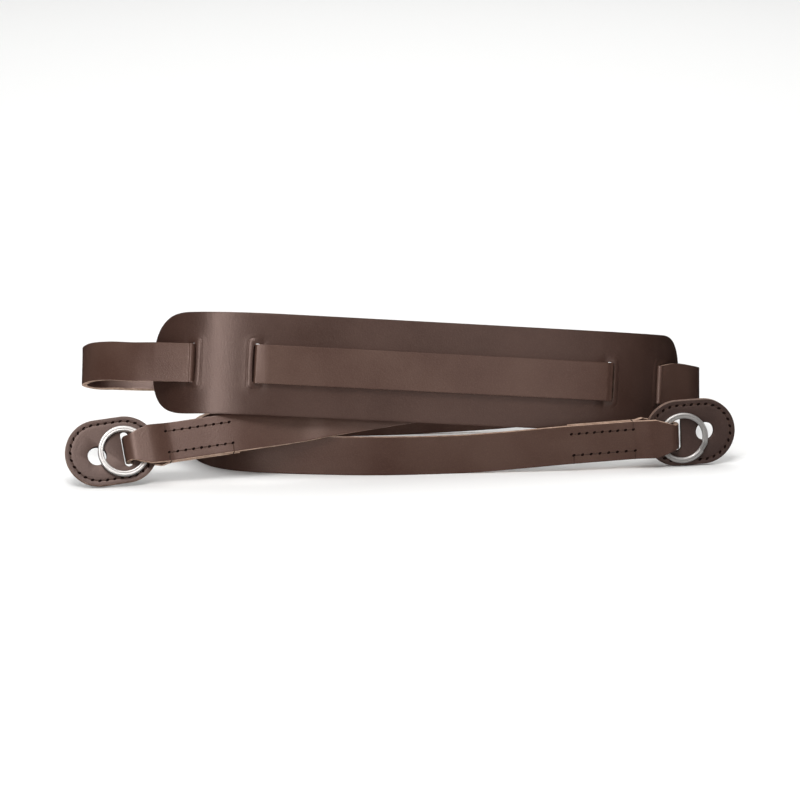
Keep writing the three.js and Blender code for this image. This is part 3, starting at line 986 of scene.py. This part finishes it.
def ring_point(share, spot):
    angle = ring_step / 2 + share * (4 * math.pi - ring_step)
    part = min(max((angle - 2 * math.pi) / ring_step + 0.5, 0), 1)
    step = smooth(part) - 0.5
    level = step * (ring_wire_thickness + gap / 2) + spot[1] * ring_wire_thickness / 2
    radius = (ring_diameter - ring_wall) / 2 + spot[0] * ring_wall / 2
    return Vector((radius * math.cos(angle), radius * math.sin(angle), level))


# Grey and half rough, in spots of 1.1 mm, so that the highlights are broad and uneven
nickel, tree, shader = new_material("brushed_nickel")
place_node = add_node(tree, "ShaderNodeTexCoord", {}, {}).outputs["Object"]
spots = add_node(
    tree, "ShaderNodeTexNoise", {}, {"Vector": place_node, "Scale": spots_per_metre, "Detail": 3}
)
shader.inputs["Base Color"].default_value = linear("#bdb9b6")
shader.inputs["Metallic"].default_value = 0.7
rough = add_node(
    tree, "ShaderNodeMapRange", {}, {"Value": spots.outputs[0], "To Min": 0.32, "To Max": 0.48}
)
tree.links.new(rough.outputs[0], shader.inputs["Roughness"])
for name, place in places.items():
    end = ends[name]
    turn = Matrix((place["along"], place["up"], place["front"] * end["side"])).transposed()
    turn = turn @ Matrix.Rotation(math.radians(end["split_at"]), 3, "Z")
    level = flap_face + gap + ring_thickness / 2
    centre = at_end(place, end["ring_along"], end["ring_up"], level)
    ring = add_grid(
        f"split_ring_{name}_wire",
        [step / ring_columns for step in range(ring_columns + 1)],
        ring_section,
        lambda share, spot: placed(turn @ ring_point(share, spot) + centre),
    )
    bpy.ops.object.mode_set(mode="EDIT")
    bpy.ops.mesh.select_all(action="SELECT")
    bpy.ops.mesh.remove_doubles(threshold=ring_merge_distance)
    bpy.ops.mesh.select_all(action="DESELECT")
    bpy.ops.mesh.select_mode(type="EDGE")
    bpy.ops.mesh.select_non_manifold()
    bpy.ops.mesh.edge_face_add()
    bpy.ops.mesh.select_all(action="SELECT")
    bpy.ops.mesh.normals_make_consistent()
    bpy.ops.object.mode_set(mode="OBJECT")
    bpy.ops.object.shade_smooth_by_angle(angle=math.radians(40))
    ring.data.materials.append(nickel)
    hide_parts(f"split_ring_{name}")
    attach(ring, "root")

# Floor and light: a white table that runs out of view and bounces light to the edges below, a
# narrow softbox low on the left for the sheen, a square one high in front, a weak one low on
# the right, and wide soft lights overhead and over the table behind.
bpy.ops.object.select_all(action="DESELECT")
bpy.ops.mesh.primitive_plane_add(size=24, location=(0, 8, 0))
floor = bpy.context.object
floor.name = "table"
bpy.ops.object.transform_apply()
# Matt white lacquer, which keeps the soft shadows pale and lights the edges from below
white, tree, shader = new_material("white_table")
shader.inputs["Base Color"].default_value = linear("#f4f4f3")
shader.inputs["Roughness"].default_value = 0.7
floor.data.materials.append(white)
floor.visible_glossy = False
softbox_distance = 1.5
# Azimuth and height in degrees, width and height in metres, and power in watts
softboxes = (
    ("strip_softbox_left", -22, 12, 0.3, 0.8, 8.2),
    ("square_softbox_high", -8, 50, 0.6, 0.6, 15.2),
    ("strip_softbox_right", 33, 12, 0.3, 0.8, 1.7),
)
for name, azimuth, lift, width, height, energy in softboxes:
    azimuth, lift = math.radians(azimuth), math.radians(lift)
    ahead = Vector(
        (math.sin(azimuth) * math.cos(lift), -math.cos(azimuth) * math.cos(lift), math.sin(lift))
    )
    bpy.ops.object.light_add(type="AREA", location=aim + softbox_distance * ahead)
    softbox = bpy.context.object
    softbox.name = name
    softbox.data.shape = "RECTANGLE"
    softbox.data.size = width
    softbox.data.size_y = height
    softbox.data.energy = energy
    softbox.rotation_euler = (-ahead).to_track_quat("-Z", "Y").to_euler()
bpy.ops.object.light_add(
    type="SUN", location=(0, 0, 2), rotation=(math.radians(-8), math.radians(-6), 0)
)
overhead = bpy.context.object
overhead.name = "overhead_light"
overhead.data.energy = 1.66
overhead.data.angle = math.radians(80)
bpy.ops.object.light_add(type="AREA", location=(0, 1.35, 0.9))
backdrop = bpy.context.object
backdrop.name = "backdrop_light"
backdrop.data.shape = "RECTANGLE"
backdrop.data.size = 1.4
backdrop.data.size_y = 2.2
backdrop.data.energy = 10
world = bpy.data.worlds.new("room")
bpy.context.scene.world = world
world.use_nodes = True
world.node_tree.nodes["Background"].inputs["Color"].default_value = (1, 1, 1, 1)
world.node_tree.nodes["Background"].inputs["Strength"].default_value = 0.01
bpy.context.scene.view_settings.view_transform = "Standard"
